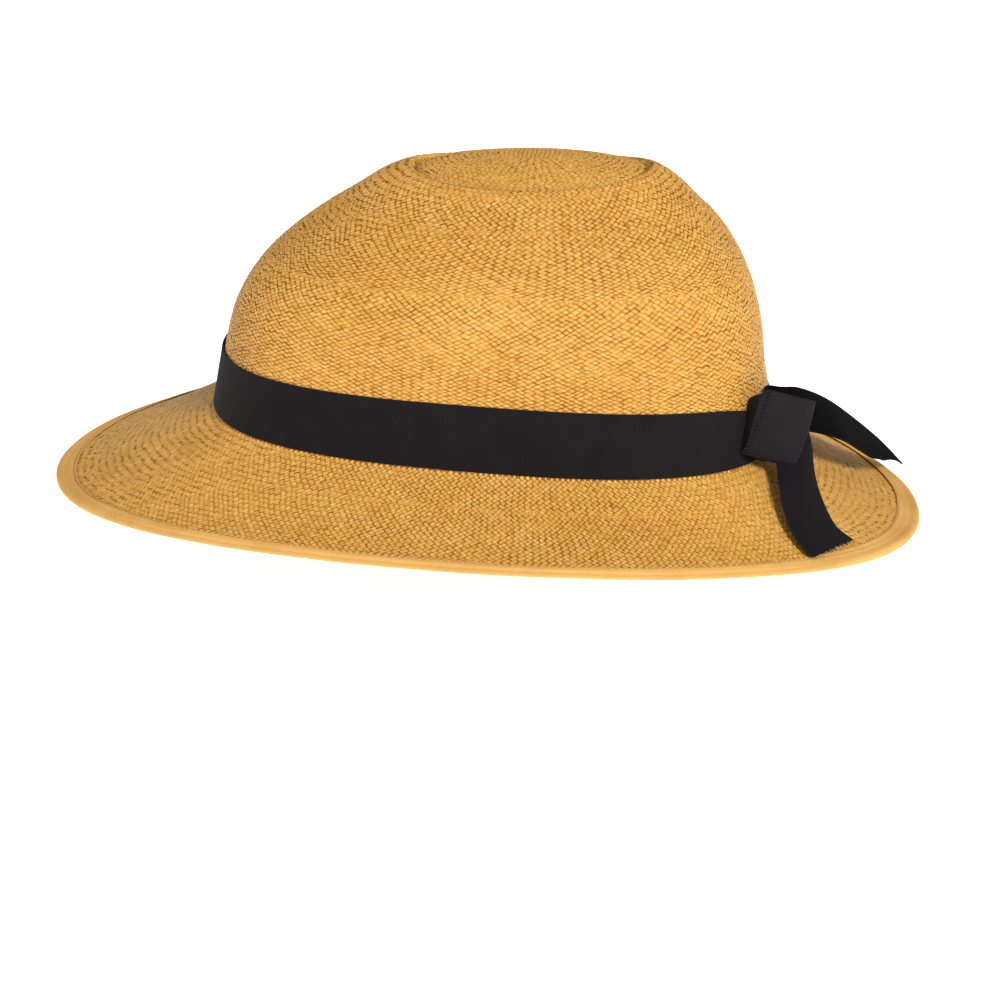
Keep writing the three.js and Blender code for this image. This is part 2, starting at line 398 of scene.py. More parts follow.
def straw_material():
    """Single straws: each has its own tone and fine streaks along it, a painted highlight down its
    middle and painted shade at its ends and edges, where it dives under its neighbours.
    """
    paint = Paint("straw_strands", 0.5, 0.18)
    work = paint.work
    tone, along, across = [paint.number(name) for name in ("tone", "along", "across")]
    scaled = ((along, 0.35), (across, 3.0), (tone, 91.0))
    streak = paint.noise(1.6, at=paint.vector(*[work("MULTIPLY", *pair) for pair in scaled]))
    shade = work("MULTIPLY_ADD", streak, 0.5, -0.25)
    drift = work("MULTIPLY_ADD", paint.noise(22.0, 3.0), 0.6, -0.3)
    total = work("ADD", work("ADD", tone, shade), drift)
    # Painted highlight down each float's middle and painted shade towards its sides and ends.
    painted_light_across = work("MULTIPLY_ADD", work("MULTIPLY", across, across), -0.34, 0.12)
    painted_light_along = work("MULTIPLY_ADD", work("MULTIPLY", along, along), -0.22, 0.07)
    total = work("ADD", total, work("ADD", painted_light_across, painted_light_along))
    # Painted shade at each float's ends and, less, its sides, where it dives under its neighbours.
    end = work("POWER", work("MINIMUM", work("ABSOLUTE", along), 1.0), 5.0)
    side = work("POWER", work("MINIMUM", work("ABSOLUTE", across), 1.0), 7.0)
    seam_shade = work("MAXIMUM", end, work("MULTIPLY", side, 0.62))
    seam_shade = work("MULTIPLY", seam_shade, work("MULTIPLY_ADD", paint.noise(95.0), 2.0, -0.15))
    colour = paint.mix("MIX", seam_shade, paint.ramp(total, STRAW_STOPS), SEAM_SHADE_COLOUR)
    return paint.finish(colour, 0.25, 0.0001, streak)


def weave_material():
    """The straw wall between the outer and the inner straws: the same plain weave, drawn on the
    weave map, whose units are the meshes round the hat and up it. Painted shade darkens the wall
    and, more, its gaps, less where the weave is pressed flat."""
    paint = Paint("straw_weave", 0.7, 0.2)
    work = paint.work
    across, up = paint.place_on("weave")
    places = [work("ADD", across, up), work("SUBTRACT", across, up)]
    cells = [work("FLOOR", work("ADD", place, 0.5)) for place in places]
    odd = work("FLOORED_MODULO", work("ADD", *cells), 2.0)
    even = work("SUBTRACT", 1.0, odd)
    away = [work("ABSOLUTE", work("SUBTRACT", *pair)) for pair in zip(places, cells)]
    in_i, in_j = [work("MULTIPLY", length, 2.0) for length in away]
    run = work("ADD", work("MULTIPLY", in_i, even), work("MULTIPLY", in_j, odd))
    off = work("ADD", work("MULTIPLY", in_j, even), work("MULTIPLY", in_i, odd))
    seam_shade = work("MAXIMUM", work("POWER", off, 6.0), work("POWER", run, 4.0))
    strand = paint.add("ShaderNodeTexWhiteNoise", noise_dimensions="3D")
    random = paint.filled(strand, paint.vector(*cells, odd))
    patch = work("MULTIPLY", paint.noise(22.0, 3.0), 0.4)
    colour = paint.ramp(work("MULTIPLY_ADD", random, 0.5, patch), STRAW_STOPS)
    open_share = work("MULTIPLY_ADD", paint.number("pressed"), -0.6, 1.0)
    # Painted shade: the gaps go dark and the whole wall darker, less where the weave is pressed
    # flat.
    colour = paint.mix("MIX", work("MULTIPLY", seam_shade, open_share), colour, GAP_SHADE_COLOUR)
    colour = paint.mix("MULTIPLY", work("MULTIPLY", open_share, 0.55), colour, SEAM_SHADE_COLOUR)
    return paint.finish(colour, 0.6, 0.0003, work("SUBTRACT", 1.0, seam_shade))


TAPE_STRIPE = 6.0  # the width of a stripe of the herringbone, mm
TAPE_RIDGE = 1.25  # between two ridges, across the tape
TAPE_SLANT = 0.62
TAPE_THREAD = 0.55  # between two threads, along the tape
BAND_WIDTH = 30.0
SELVEDGE_FROM = 14.55  # from the tape's middle, mm
# A painted highlight along the tape's woven edges.
SELVEDGE_HIGHLIGHT_COLOUR = (0.048, 0.045, 0.052)
TAPE_STOPS = [
    (0.0, (0.0022, 0.0017, 0.0024)),
    (0.5, (0.0076, 0.0065, 0.0075)),
    (1.0, (0.0175, 0.0154, 0.0170)),
]


def tape_material(name, shade, edge_highlight):
    """Black herringbone twill tape: slanted ridges that turn back at each lengthwise stripe.
    Its shade, a share of the band's colour, is painted light and shade for how each piece faces
    the lamps; the last share is a painted highlight along its woven edges."""
    paint = Paint(name, 0.85, 0.12 * shade)
    work = paint.work
    along, across = paint.place_on("tape")
    climb = work("ADD", work("MULTIPLY", along, TAPE_SLANT), work("PINGPONG", across, TAPE_STRIPE))
    ridge = work("MULTIPLY_ADD", paint.wave(climb, TAPE_RIDGE), 0.5, 0.5)
    thread = work("MULTIPLY_ADD", paint.wave(along, TAPE_THREAD), 0.5, 0.5)
    patch = work("MULTIPLY_ADD", paint.noise(60.0, 3.0), 0.4, -0.1)
    stops = [(spot, tuple(shade * c for c in colour)) for spot, colour in TAPE_STOPS]
    colour = paint.ramp(work("MULTIPLY_ADD", ridge, 0.8, patch), stops)
    # Painted highlight along the woven edges, by the given share.
    from_middle = work("ABSOLUTE", work("SUBTRACT", across, BAND_WIDTH / 2))
    at_edge = work("MULTIPLY", work("GREATER_THAN", from_middle, SELVEDGE_FROM), edge_highlight)
    colour = paint.mix("MIX", at_edge, colour, SELVEDGE_HIGHLIGHT_COLOUR)
    paint.sockets["Sheen Weight"].default_value = 0.03 * shade
    paint.sockets["Sheen Roughness"].default_value = 0.5
    return paint.finish(colour, 0.5, 0.00018, work("MULTIPLY_ADD", thread, 0.25, ridge))


BINDING_THREADS = (0.7, 0.55)  # between threads, along the tape and across it
BINDING_STOPS = [
    (0.25, (0.60, 0.312, 0.078)),
    (0.5, (0.71, 0.390, 0.108)),
    (0.75, (0.78, 0.450, 0.134)),
]


def binding_material():
    """Tan tape folded over the brim's edge: a fine, close weave with soft patches."""
    paint = Paint("binding_tape", 0.8, 0.2)
    work = paint.work
    along, across = paint.place_on("tape")
    warp, weft = map(paint.wave, (along, across), BINDING_THREADS)
    weave = work("MULTIPLY", warp, weft)
    fine = paint.noise(700.0)
    total = work("MULTIPLY_ADD", paint.noise(40.0, 4.0), 0.7, work("MULTIPLY", fine, 0.3))
    total = work("MULTIPLY_ADD", weave, 0.05, total)
    colour = paint.ramp(total, BINDING_STOPS)
    return paint.finish(colour, 0.35, 0.00012, work("MULTIPLY_ADD", weave, 0.5, fine))


def thread_material(name, colour):
    """Thread with a soft change of tone."""
    paint = Paint(name, 0.8, 0.5)
    dark = tuple(0.7 * c for c in colour)
    return paint.finish(paint.ramp(paint.noise(900.0), [(0.3, dark), (0.7, colour)]))


FLOOR_GLOW = 0.9


def floor_material():
    """A white sheet lit evenly from below as well, as a light table's."""
    paint = Paint("pale_floor", 0.9, 0.5)
    white = [(0.3, (0.93, 0.93, 0.93)), (0.7, (0.95, 0.95, 0.95))]
    paint.sockets["Emission Color"].default_value = (1, 1, 1, 1)
    paint.sockets["Emission Strength"].default_value = FLOOR_GLOW
    return paint.finish(paint.ramp(paint.noise(3.0), white))


straw = straw_material()
weave = weave_material()
# Lit and shaded copies of one tape: painted light on the knot, which faces the key lamp, and
# painted shade on the tails, most on the back tail.
tape = tape_material("band_twill", 0.95, 0.1)
knot_tape = tape_material("knot_twill", 1.1, 0.6)
front_tape = tape_material("front_tail_twill", 0.72, 0.15)
back_tape = tape_material("back_tail_twill", 0.2, 0.1)
tan = binding_material()
tan_thread = thread_material("binding_thread", (0.42, 0.235, 0.07))
black_thread = thread_material("frayed_thread", (0.012, 0.011, 0.013))


# ---------------------------------------------------------------- weave

# Straws pass over one and under one, leaning both ways. Between two rounds the number of straws
# stays, so the weave's rhombic meshes shear as the rings they lie on grow or shrink.
WEAVE_ROUNDS = [
    (1.6, 352), (46.0, 300), (FOOT_M, 176), (152.0, 148), (190.0, 128), (214.0, 112),
    (224.0, 96), (234.0, 80), (243.0, 60), (251.0, 42), (258.0, 30),
]
BRIM_MESH = 2.25  # the side of a mesh, mm
CROWN_MESH = 2.36
TIP_MESH = 1.95
LEAST_RISE = 0.95
CENTRE_RADIUS = 13.0
SUNK = -0.14
SUNK_SHADE = 0.3
# How much each float differs from the next: in width, length and drift as shares of a float,
# in how far it stands out as millimetres, and in tone.
WIDTH_SPREAD, LENGTH_SPREAD, PROUD_SPREAD, DRIFT_SPREAD = 0.05, 0.06, 0.045, 0.07
TONE_SPREAD = 0.13

# Waves in the weave: their height, how many there are round the hat, how they turn for each
# millimetre up it, and where they start.
WANDER_UP = [(0.34, 7, 0.11, 0), (0.26, 19, -0.17, 1), (0.20, 43, 0.31, 2), (0.14, 71, -0.9, 0)]
WANDER_ASIDE = [(0.5, 5, 0.13, 2), (0.34, 23, -0.21, 0)]


def wander(waves, m, f):
    """How far a straw strays from an even weave."""
    turn = math.tau * f
    return sum(high * np.sin(count * turn + rise * m + at) for high, count, rise, at in waves)


def calm(m, f):
    """Where the weave is pressed flat, from 0 to 1: at the brim's front and back, at its edge
    on the wearer's right and over the tip."""
    turn = math.tau * f
    m = np.asarray(m)
    ends = np.abs(np.cos(turn)) ** 3 * (m < FOOT_M + 5)
    far = np.clip(-1.6 * np.sin(turn), 0, 1) * np.clip((16 - m) / 10, 0, 1)
    tip = 0.5 * np.clip((m - GROOVE_M + 20) / 20, 0, 1)
    return np.maximum(np.maximum(ends, far), tip)


def slack(m, f):
    """Where the weave is tighter or more open, about one."""
    turn = math.tau * f
    made = np.sin(6 * turn + 0.09 * m) * np.sin(0.13 * m - 4 * turn + 0.7)
    return (1.5 + 0.45 * made + 0.25 * np.sin(31 * turn + 0.4 * m)) * (1 - 0.7 * calm(m, f))


def row_rise(m, straws):
    side = BRIM_MESH if m < FOOT_M else CROWN_MESH if m < GROOVE_M else TIP_MESH
    half = skin.length_round(m) / straws / 2
    return max(math.sqrt(max(side**2 - half**2, 0)), LEAST_RISE)


def weave_rows():
    """Every row of straws from the brim's edge up: its m, the rise to the next row, the number
    of straws in it, its own number and how far it is sunk. Where two rounds meet, each runs
    one row on under the other."""
    found = []
    m = WEAVE_ROUNDS[0][0]
    number = 0
    before = WEAVE_ROUNDS[0][1]
    while m < skin.height - CENTRE_RADIUS:
        straws = [count for start, count in WEAVE_ROUNDS if start <= m][-1]
        rise = row_rise(m, straws)
        if straws != before:
            found.append((m, row_rise(m, before), before, number, SUNK))
            found.append((m - rise, rise, straws, number + 1, SUNK))
        found.append((m, rise, straws, number, 0.0))
        before = straws
        number += 1
        m += rise
    return found


OUTER_ALONG = np.array([-1.16, -0.5, 0.5, 1.16])
OUTER_ARCH = np.array([-0.24, 0.14, 0.14, -0.24])
INNER_ALONG = np.array([-1.12, 0.0, 1.12])
INNER_ARCH = np.array([-0.20, 0.14, -0.20])
ACROSS = np.array([-1.0, 0.0, 1.0])
CROWNED = np.array([-0.14, 0.0, -0.14])
STRAW_WIDTH = 0.92  # as a share of a mesh's width


def tile(inside):
    """A float's grid: its places along and across and its heights, each as one list."""
    along, arch = (INNER_ALONG, INNER_ARCH) if inside else (OUTER_ALONG, OUTER_ARCH)
    s, t = [grid.ravel() for grid in np.meshgrid(along, ACROSS, indexing="ij")]
    return s, t, (arch[:, None] + CROWNED).ravel()


def row_of_floats(row, habits, inside):
    """The straws that come to one side of the hat in a row: their points' places (m, f, proud)
    and numbers for the material. Even rows lean one way and odd rows the other."""
    m, rise, straws, number, sunk = row
    widths, shifts, tones = habits[straws]
    lean = number % 2
    q = np.arange(straws)
    name = ((q + (number + 1) // 2) if lean else (q - number // 2)) % straws
    turn = -1.0 if lean != inside else 1.0
    s, t, up = tile(inside)
    width = widths[lean, name] * rng.normal(1, WIDTH_SPREAD, straws)
    length = rng.normal(1, LENGTH_SPREAD, straws)
    proud = rng.normal(sunk, PROUD_SPREAD, straws)
    drift = rng.normal(0, DRIFT_SPREAD, (2, straws))
    ends = np.abs(np.cos(math.tau * q / straws))
    lift = rng.normal(0, 1, straws) * (0.05 + 0.16 * ends**3)
    width = width * (1 + 0.2 * calm(m, q / straws))
    along = s * length[:, None] + drift[0][:, None]
    across = t * width[:, None] + shifts[lean, name][:, None] + drift[1][:, None]
    f = (q[:, None] + 0.5 * lean + (along + turn * across) / 4) / straws
    high = m + rise / 2 * (turn * along - across)
    stray_up, stray_aside = wander(WANDER_UP, high, f), wander(WANDER_ASIDE, high, f)
    length_round = skin.length_round(m)
    share = min(length_round / 500, 1.0)
    out = up * slack(high, f) + proud[:, None]
    high = high + stray_up * share + lift[:, None]
    f = f + stray_aside * share / length_round
    if inside:
        out = -STRAW_WALL - out
    # Painted shade in the crease inside the tip's rim, most at the front and the back.
    groove_shade = np.exp(-(((m - GROOVE_M) / 0.8) ** 2)) * ends**4
    tone = tones[lean, name] + rng.normal(0, TONE_SPREAD, straws) - 1.5 * groove_shade
    tone = tone - (SUNK_SHADE if sunk else 0)
    one = np.ones_like(f)
    # The place along each float, shrunk where the weave is pressed flat, so that the painted shade
    # at its ends fades there.
    along_for_end_shade = s * (1 - 0.4 * calm(high, f))
    return np.stack([high, f, out * one, tone[:, None] * one, along_for_end_shade, t * one], -1)


def centre_floats(inside):
    """The weave's start at the middle of the tip: a square lattice."""
    cell = TIP_MESH
    n = int(CENTRE_RADIUS / cell) + 2
    s, t, up = tile(inside)
    found = []
    for i in range(-n, n):
        for j in range(-n, n):
            if math.hypot(i + 0.5, j + 0.5) * cell > CENTRE_RADIUS + 0.9:
                continue
            if (i + j) % 2 == inside:
                x, y = s / 2, -t / 2 * STRAW_WIDTH
            else:
                x, y = t / 2 * STRAW_WIDTH, s / 2
            x, y = (x + i + 0.5) * cell, (y + j + 0.5) * cell
            f = np.arctan2(x, -y) / math.tau
            out = -STRAW_WALL - up if inside else up
            tone = rng.normal(0.5, 0.14) + 0 * s
            found.append(np.stack([skin.height - np.hypot(x, y), f, out, tone, s, t], -1))
    return np.array(found)


def float_piece(name, floats, inside):
    """One mesh from many floats, each a small arched tile with its own patch of the bake map."""
    along = INNER_ALONG if inside else OUTER_ALONG
    count, size = floats.shape[:2]
    flat = floats.reshape(-1, floats.shape[2])
    points = skin.at(flat[:, 0], flat[:, 1], flat[:, 2])
    quads = grid_faces(len(along), len(ACROSS))
    if inside:
        quads = quads[:, ::-1]
    faces = copies(quads, count, size)
    made = mesh_piece(name, points, faces, straw)
    for column, number in enumerate(("tone", "along", "across"), 3):
        set_number(made, number, flat[:, column])
    side = math.ceil(math.sqrt(count))
    corner = np.stack(np.divmod(np.arange(count), side)[::-1], -1)
    s, t, _ = tile(inside)
    within = np.stack([0.5 + 0.36 * s / s.max(), 0.5 + 0.36 * t], -1)
    spot = (corner[:, None] + within) / side
    set_map(made, "OFBake", spot.reshape(-1, 2)[faces.ravel()])


BAND_FOOT_M = FOOT_M + 0.7
BAND_TOP_M = BAND_M - 0.3
HALF_BRIM_M = 36.0
HALF_CROWN_M = BAND_M + 52.0
UNDER_BINDING_M = 3.2
UNDER_BAND = 2.5  # how far the outer straws run in under the band
PINCH = 16.0  # how much of the band's width is drawn in where its ends meet in the bow
PINCH_AT = 0.49
PINCH_SPANS = (0.06, 0.10)  # on its left and its right, as shares of the way round
rows_of_weave = weave_rows()


def band_top(f):
    """The m of the band's upper edge, drawn down towards the bow."""
    past = np.asarray(f) % 1 - PINCH_AT
    span = np.where(past < 0, PINCH_SPANS[0], PINCH_SPANS[1])
    return BAND_TOP_M - PINCH * np.exp(-((past / span) ** 2))


def straw_habits():
    """How wide, how far aside and how pale each straw of a round runs."""
    made = {}
    for straws in sorted({row[2] for row in rows_of_weave}):
        widths = rng.normal(STRAW_WIDTH, 0.05, (2, straws)).clip(0.78, 1.06)
        shifts = rng.normal(0, 0.05, (2, straws))
        tones = 0.5 + rng.normal(0, 0.07, (2, straws))
        made[straws] = (widths, shifts, tones)
    return made


def lay_straws(inside):
    """The straws of the hat's outer or inner side, in four pieces from the edge to the tip."""
    habits = straw_habits()
    ends = [HALF_BRIM_M, BAND_FOOT_M + 8.0, HALF_CROWN_M, skin.height + 1]
    names = ["brim_outer", "brim_inner", "crown_side", "crown_top"]
    side = "inner" if inside else "outer"
    parts = [[] for _ in names]
    for row in rows_of_weave:
        m = row[0]
        if m < UNDER_BINDING_M:
            continue
        floats = row_of_floats(row, habits, inside)
        if not inside:
            top = band_top(floats[:, 0, 1]) - UNDER_BAND
            floats = floats[(m < BAND_FOOT_M + UNDER_BAND) | (m > top)]
        parts[np.searchsorted(ends, m, side="right")].append(floats)
    parts[3].append(centre_floats(inside))
    for name, found in zip(names, parts):
        float_piece(f"straws_{name}_{side}", np.concatenate(found), inside)


lay_straws(False)
lay_straws(True)


# ---------------------------------------------------------------- straw wall between the straws

SHELL_COLUMNS = 216
SHELL_STEP = 3.0
SHELL_SUNK = 0.45  # how much deeper it lies under the tip's crease
BACKING = -0.31  # its outer face, under the straws
INSIDE = -1.46


def weave_place(m, f):
    """The weave map's coordinates: meshes round the hat and up it, counted from the edge."""
    laid = [row for row in rows_of_weave if row[4] == 0]
    levels = np.array([row[0] for row in laid])
    row = int(np.clip(np.searchsorted(levels, m) - 1, 0, len(levels) - 1))
    up = np.interp(m, levels, np.arange(len(levels)) / 2)
    return np.stack([f * laid[row][2], up + 0 * f], -1)


def straw_shell():
    """The wall behind the straws: down its inner face, round the brim's edge and up its outer
    face, with finer rows at the tip's crease."""
    even = np.linspace(0, skin.height, int(skin.height / SHELL_STEP) + 1)
    crease = GROOVE_M + np.arange(-7, 7.1, GRID_STEP)
    ms = np.sort(np.concatenate([even[np.abs(even - GROOVE_M) > 7.5], crease]))
    f = np.arange(SHELL_COLUMNS + 1) / SHELL_COLUMNS
    m_grid, f_grid = np.meshgrid(ms, f[:-1], indexing="ij")
    sunk = SHELL_SUNK * np.exp(-(((m_grid - GROOVE_M) / 2.5) ** 2))
    outer = skin.at(m_grid, f_grid, BACKING - sunk)
    inner = skin.at(m_grid, f_grid, INSIDE)
    points = np.concatenate([inner[::-1], outer]).reshape(-1, 3)
    faces = grid_faces(2 * len(ms), SHELL_COLUMNS, closed=True)
    made = mesh_piece("straw_wall", points, faces, weave)
    pressed = calm(m_grid, f_grid)
    set_number(made, "pressed", np.concatenate([pressed[::-1], pressed]).ravel())
    place = np.array([weave_place(m, f) for m in ms])
    set_grid_map(made, "weave", np.concatenate([place[::-1], place]))
    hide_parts("straw_body")


straw_shell()


# ---------------------------------------------------------------- tapes

def tape_ring(name, rows, material, mm_along, mm_across):
    """A closed tube from rows of points round the hat, each at its place across the tape."""
    count, columns = len(rows), len(rows[0])
    faces = grid_faces(count + 1, columns, closed=True) % (count * columns)
    made = mesh_piece(name, np.concatenate(rows), faces, material)
    along = np.arange(columns + 1) / columns * mm_along
    across = np.append(mm_across, mm_across[0])
    set_grid_map(made, "tape", np.stack(np.meshgrid(along, across), -1))
    return made


BAND_COLUMNS = 720
BAND_LENGTH = 735.0
BAND_UNDER = 0.30
BAND_PROUD = 0.72
BAND_FRONT = 0.9  # further out at the front


def hat_band():
    """The herringbone tape round the crown, its woven edges a little thicker."""
    f = np.arange(BAND_COLUMNS) / BAND_COLUMNS
    low, high = BAND_FOOT_M, band_top(f)
    share = np.array([0, 0.02, 0.06, 0.15, 0.3, 0.45, 0.6, 0.75, 0.87, 0.95, 0.985, 1.0])
    soft = 0.16 * np.sin(math.tau * 3 * f + 0.5) + 0.10 * np.sin(math.tau * 7 * f + 2.0)
    rows = []
    for s in share:
        edge = abs(2 * s - 1)
        lip = 0.14 * edge**6 * (1 + soft)
        rounded = -0.2 if s in (0, 1.0) else 0.0
        m = low + (high - low) * s + 0.3 * soft * math.copysign(edge**3, s - 0.5)
        out = BAND_PROUD + 0.12 * math.sin(math.pi * s) + lip + rounded + 0.25 * soft
        out = out + BAND_FRONT * np.maximum(np.cos(math.tau * f), 0) ** 4
        rows.append(skin.at(m, f, out))
    for s in share[::-1]:
        m = low + (high - low) * s
        rows.append(skin.at(m, f, BAND_UNDER))
    across = BAND_WIDTH * np.concatenate([share, share[::-1]])
    made = tape_ring("hat_band_tape", rows, tape, BAND_LENGTH, across)
    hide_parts("hat_band")


BINDING_COLUMNS = 720
BINDING_LENGTH = 1195.0
FLAP_SIDES = 4.3  # how far the binding reaches in over the brim at the hat's sides
FLAP_FRONT = 6.5  # at its front
FLAP_BACK = 8.4
RIM_REACH = 2.3
RIM_SIDES = 0.82  # half the rim's thickness at the sides
RIM_ENDS = 2.3
FAR_LIFT = 0.6  # how much fuller the binding is on the wearer's right
BINDING_THICK = 0.4
LOWEST_BINDING = 0.02
STITCH_EVERY = 3.1
STITCH_IN = 0.9  # from the flap's edge


class Edge:
    """The brim's edge at places f round the hat, for the tape that is folded over it."""

    def __init__(self, f):
        self.f = f
        self.points = skin.at(0 * f, f)
        self.up = skin.normal(0 * f + 1.0, f)
        inward = skin.at(0 * f + 4.0, f) - self.points
        self.out = unit(self.up * (inward * self.up).sum(1)[:, None] - inward)
        self.low = eased(np.clip(1 - (self.points[:, 2] - BRIM_EDGE[4]) / 9.0, 0, 1))
        self.far = FAR_LIFT * np.maximum(-np.sin(math.tau * f), 0) ** 0.7
        self.half = RIM_SIDES + (RIM_ENDS - RIM_SIDES) * self.low + self.far * (1 - self.low)
        c = np.cos(math.tau * f)
        self.end = np.abs(c) ** 1.5
        ripple = 0.28 * np.sin(math.tau * 5 * f + 1.0) + 0.2 * np.sin(math.tau * 13 * f)
        widest = np.where(c > 0, FLAP_FRONT, FLAP_BACK)
        self.flap = FLAP_SIDES + (widest - FLAP_SIDES) * self.end + ripple

    def top(self, share, lift):
        """A row over the straw, this share of the flap in from the edge."""
        wave = np.sin(math.tau * share * self.flap / 3.3 + 0.8 * np.sin(7 * math.tau * self.f))
        near = eased(min(share / 0.4, 1.0))
        rim = self.half - STRAW_WALL / 2 + lift - 0.6
        high = (lift + self.far + 0.16 * self.end * wave) * near + rim * (1 - near)
        return skin.at(self.flap * share, self.f, high)

    def rim(self, turn, thinner):
        """A row round the rim, from 90 degrees at its top to -90 at its foot."""
        middle = self.points - self.up * (STRAW_WALL / 2)
        reach = (RIM_REACH - thinner) * math.cos(turn)
        rise = (self.half - thinner) * math.sin(turn)
        return middle + self.out * reach + self.up * rise[:, None]

    def under(self, share, depth):
        near = min(share / 0.4, 1.0)
        rim = -STRAW_WALL / 2 - self.half
        return skin.at(self.flap * share, self.f, (-STRAW_WALL - depth) * near + rim * (1 - near))


FLAP_SHARES = [1.0, 0.985, 0.94, 0.87, 0.79, 0.7, 0.6, 0.5, 0.4, 0.3, 0.2, 0.1]
FLAP_LIFTS = [0.30, 0.60, 0.66, 0.54, 0.56, 0.60, 0.62, 0.62, 0.62, 0.61, 0.6, 0.6]


def edge_binding():
    """The tape folded over the brim's edge: a flap on top, the rim and a flap below."""
    edge = Edge(np.arange(BINDING_COLUMNS) / BINDING_COLUMNS)
    rows = [edge.top(share, lift) for share, lift in zip(FLAP_SHARES, FLAP_LIFTS)]
    turns = [math.pi / 2 - step / 12 * math.pi for step in range(13)]
    rows += [edge.rim(turn, 0.0) for turn in turns]
    rows += [edge.under(share, 0.6) for share in (0.15, 0.4, 0.7, 0.97)]
    rows.append(edge.under(1.0, 0.4))
    rows += [edge.under(share, 0.6 - BINDING_THICK) for share in (0.97, 0.7, 0.4, 0.15)]
    rows += [edge.rim(turn, BINDING_THICK) for turn in turns[::-2]]
    rows += [edge.top(share, 0.6 - BINDING_THICK) for share in (0.2, 0.4, 0.6, 0.8, 0.97)]
    rows = np.array(rows[::-1])
    rows[..., 2] = np.maximum(rows[..., 2], LOWEST_BINDING)
    across = running(gaps(rows[::-1]).mean(1))[::-1]
    made = tape_ring("edge_binding_tape", rows, tan, BINDING_LENGTH, across)
    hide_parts("edge_binding")


def thread_rods(name, starts, ends, ups, radius, material):
    """Short bent threads, each a five-sided rod from one point to another, risen midway."""
    share = np.array([0, 0.2, 0.5, 0.8, 1.0])
    rise = np.array([0, 0.8, 1.0, 0.8, 0])
    line = starts[:, None] + (ends - starts)[:, None] * share[:, None]
    line = line + ups[:, None] * (rise * radius * 1.6)[:, None]
    way = unit(ends - starts)
    side = unit(np.cross(way, ups))
    top = np.cross(side, way)
    thick = radius * np.array([0.6, 1, 1, 1, 0.6])
    angle = np.arange(5) / 5 * math.tau
    spread = np.cos(angle)[:, None] * side[:, None] + np.sin(angle)[:, None] * top[:, None]
    points = line[:, :, None] + spread[:, None] * thick[:, None, None]
    faces = copies(grid_faces(5, 5, closed=True)[:, ::-1], len(starts), 25)
    mesh_piece(name, points.reshape(-1, 3), faces, material)


def binding_stitches():
    """The row of stitches that holds the binding, just inside its flap's edge."""
    length = skin.length_round(6.0)
    f = np.arange(0, length, STITCH_EVERY) / length
    half = 0.36 * STITCH_EVERY / length
    edge = Edge(f)
    m = edge.flap - STITCH_IN + rng.normal(0, 0.06, len(f))
    starts = skin.at(m, f - half, 0.55)
    ends = skin.at(m + rng.normal(0, 0.1, len(f)), f + half, 0.55)
    ups = skin.normal(m, f)
    thread_rods("binding_stitches", starts, ends, ups, 0.17, tan_thread)


hat_band()
edge_binding()
binding_stitches()


# ---------------------------------------------------------------- the bow

KNOT_MIDDLE = np.array([58, 138.7, 59.5])
KNOT_FACES = math.radians(40)
KNOT_LEAN = math.radians(20)
# Corners of the knot's face, across, up and out from its middle: top left, foot left, foot
# right, the bend of its right side, top right. Its foot right stands out over the front tail.
KNOT_FACE = np.array(
    [(-12, 14.2, 0), (-12.9, -17.8, 0), (11.3, -16.8, 8.6), (20, -0.2, 0.3), (18.0, 15.2, 0)]
)
KNOT_FOLDS = (2.4, 4.2, 0.8)  # the rounding of its left side, its foot and its lower right
KNOT_BEND = 0.45  # how far down its right side bends
KNOT_GRID = 49
KNOT_BULGE = 0.9
KNOT_CREASE = 0.35
KNOT_SET_BACK = 0.25
KNOT_LENGTH = 32.0  # of tape over the knot's face
KNOT_TUCKED = 3.0  # of the tape's width, round the left side
KNOT_OUTLINE = np.array([(-16.4, 12.4), (-13.6, -17.0), (6.6, -18.6), (20.0, -0.4), (17.4, 15.2)])
TAPE_THICK = 0.8
EDGE_THICK = 0.55  # as a share of the rest

FRONT_TAIL = [
    (50.8, 137.2, 48.6, 39, 145.5, 56.5),
    (60.8, 138.5, 42.6, 35.8, 153.8, 49.6),
    (79.6, 140.7, 34.4, 53.5, 157.3, 35.2),
    (93.7, 144.2, 25.3, 67, 161.4, 26.6),
    (103.7, 150, 17.9, 76.2, 167.8, 17.9),
    (109.5, 156.6, 13.2, 79, 176, 12.6),
]
BACK_TAIL = [
    (45, 131.5, 69.5, 60, 134, 53),
    (32.8, 132.2, 70.6, 56.2, 136.3, 50.8),
    (22, 139.5, 67.5, 43, 147, 50.3),
    (7.6, 148.8, 63.5, 34.7, 153.9, 50),
    (-14.3, 162.1, 53.1, 14.6, 169.4, 41.2),
    (-33.7, 175.8, 39.6, -3.3, 179.4, 31.2),
    (-49.5, 192.2, 23.2, -19.6, 187.3, 22.4),
    (-61.9, 205.6, 7.4, -36.5, 192.3, 17.5),
]


def curve_through(points, count):
    """count points on a smooth curve through the given ones."""
    points = np.array(points, float)
    full = np.vstack([2 * points[0] - points[1], points, 2 * points[-1] - points[-2]])
    made = []
    for share in np.linspace(0, len(points) - 1, count):
        k = min(int(share), len(points) - 2)
        t = share - k
        a, b, c, d = full[k : k + 4]
        bend = 2 * a - 5 * b + 4 * c - d
        made.append(0.5 * (2 * b + (c - a) * t + bend * t**2 + (3 * b - a - 3 * c + d) * t**3))
    return np.array(made)


def sheet_normals(middle):
    return unit(np.cross(np.gradient(middle, axis=0), np.gradient(middle, axis=1)))


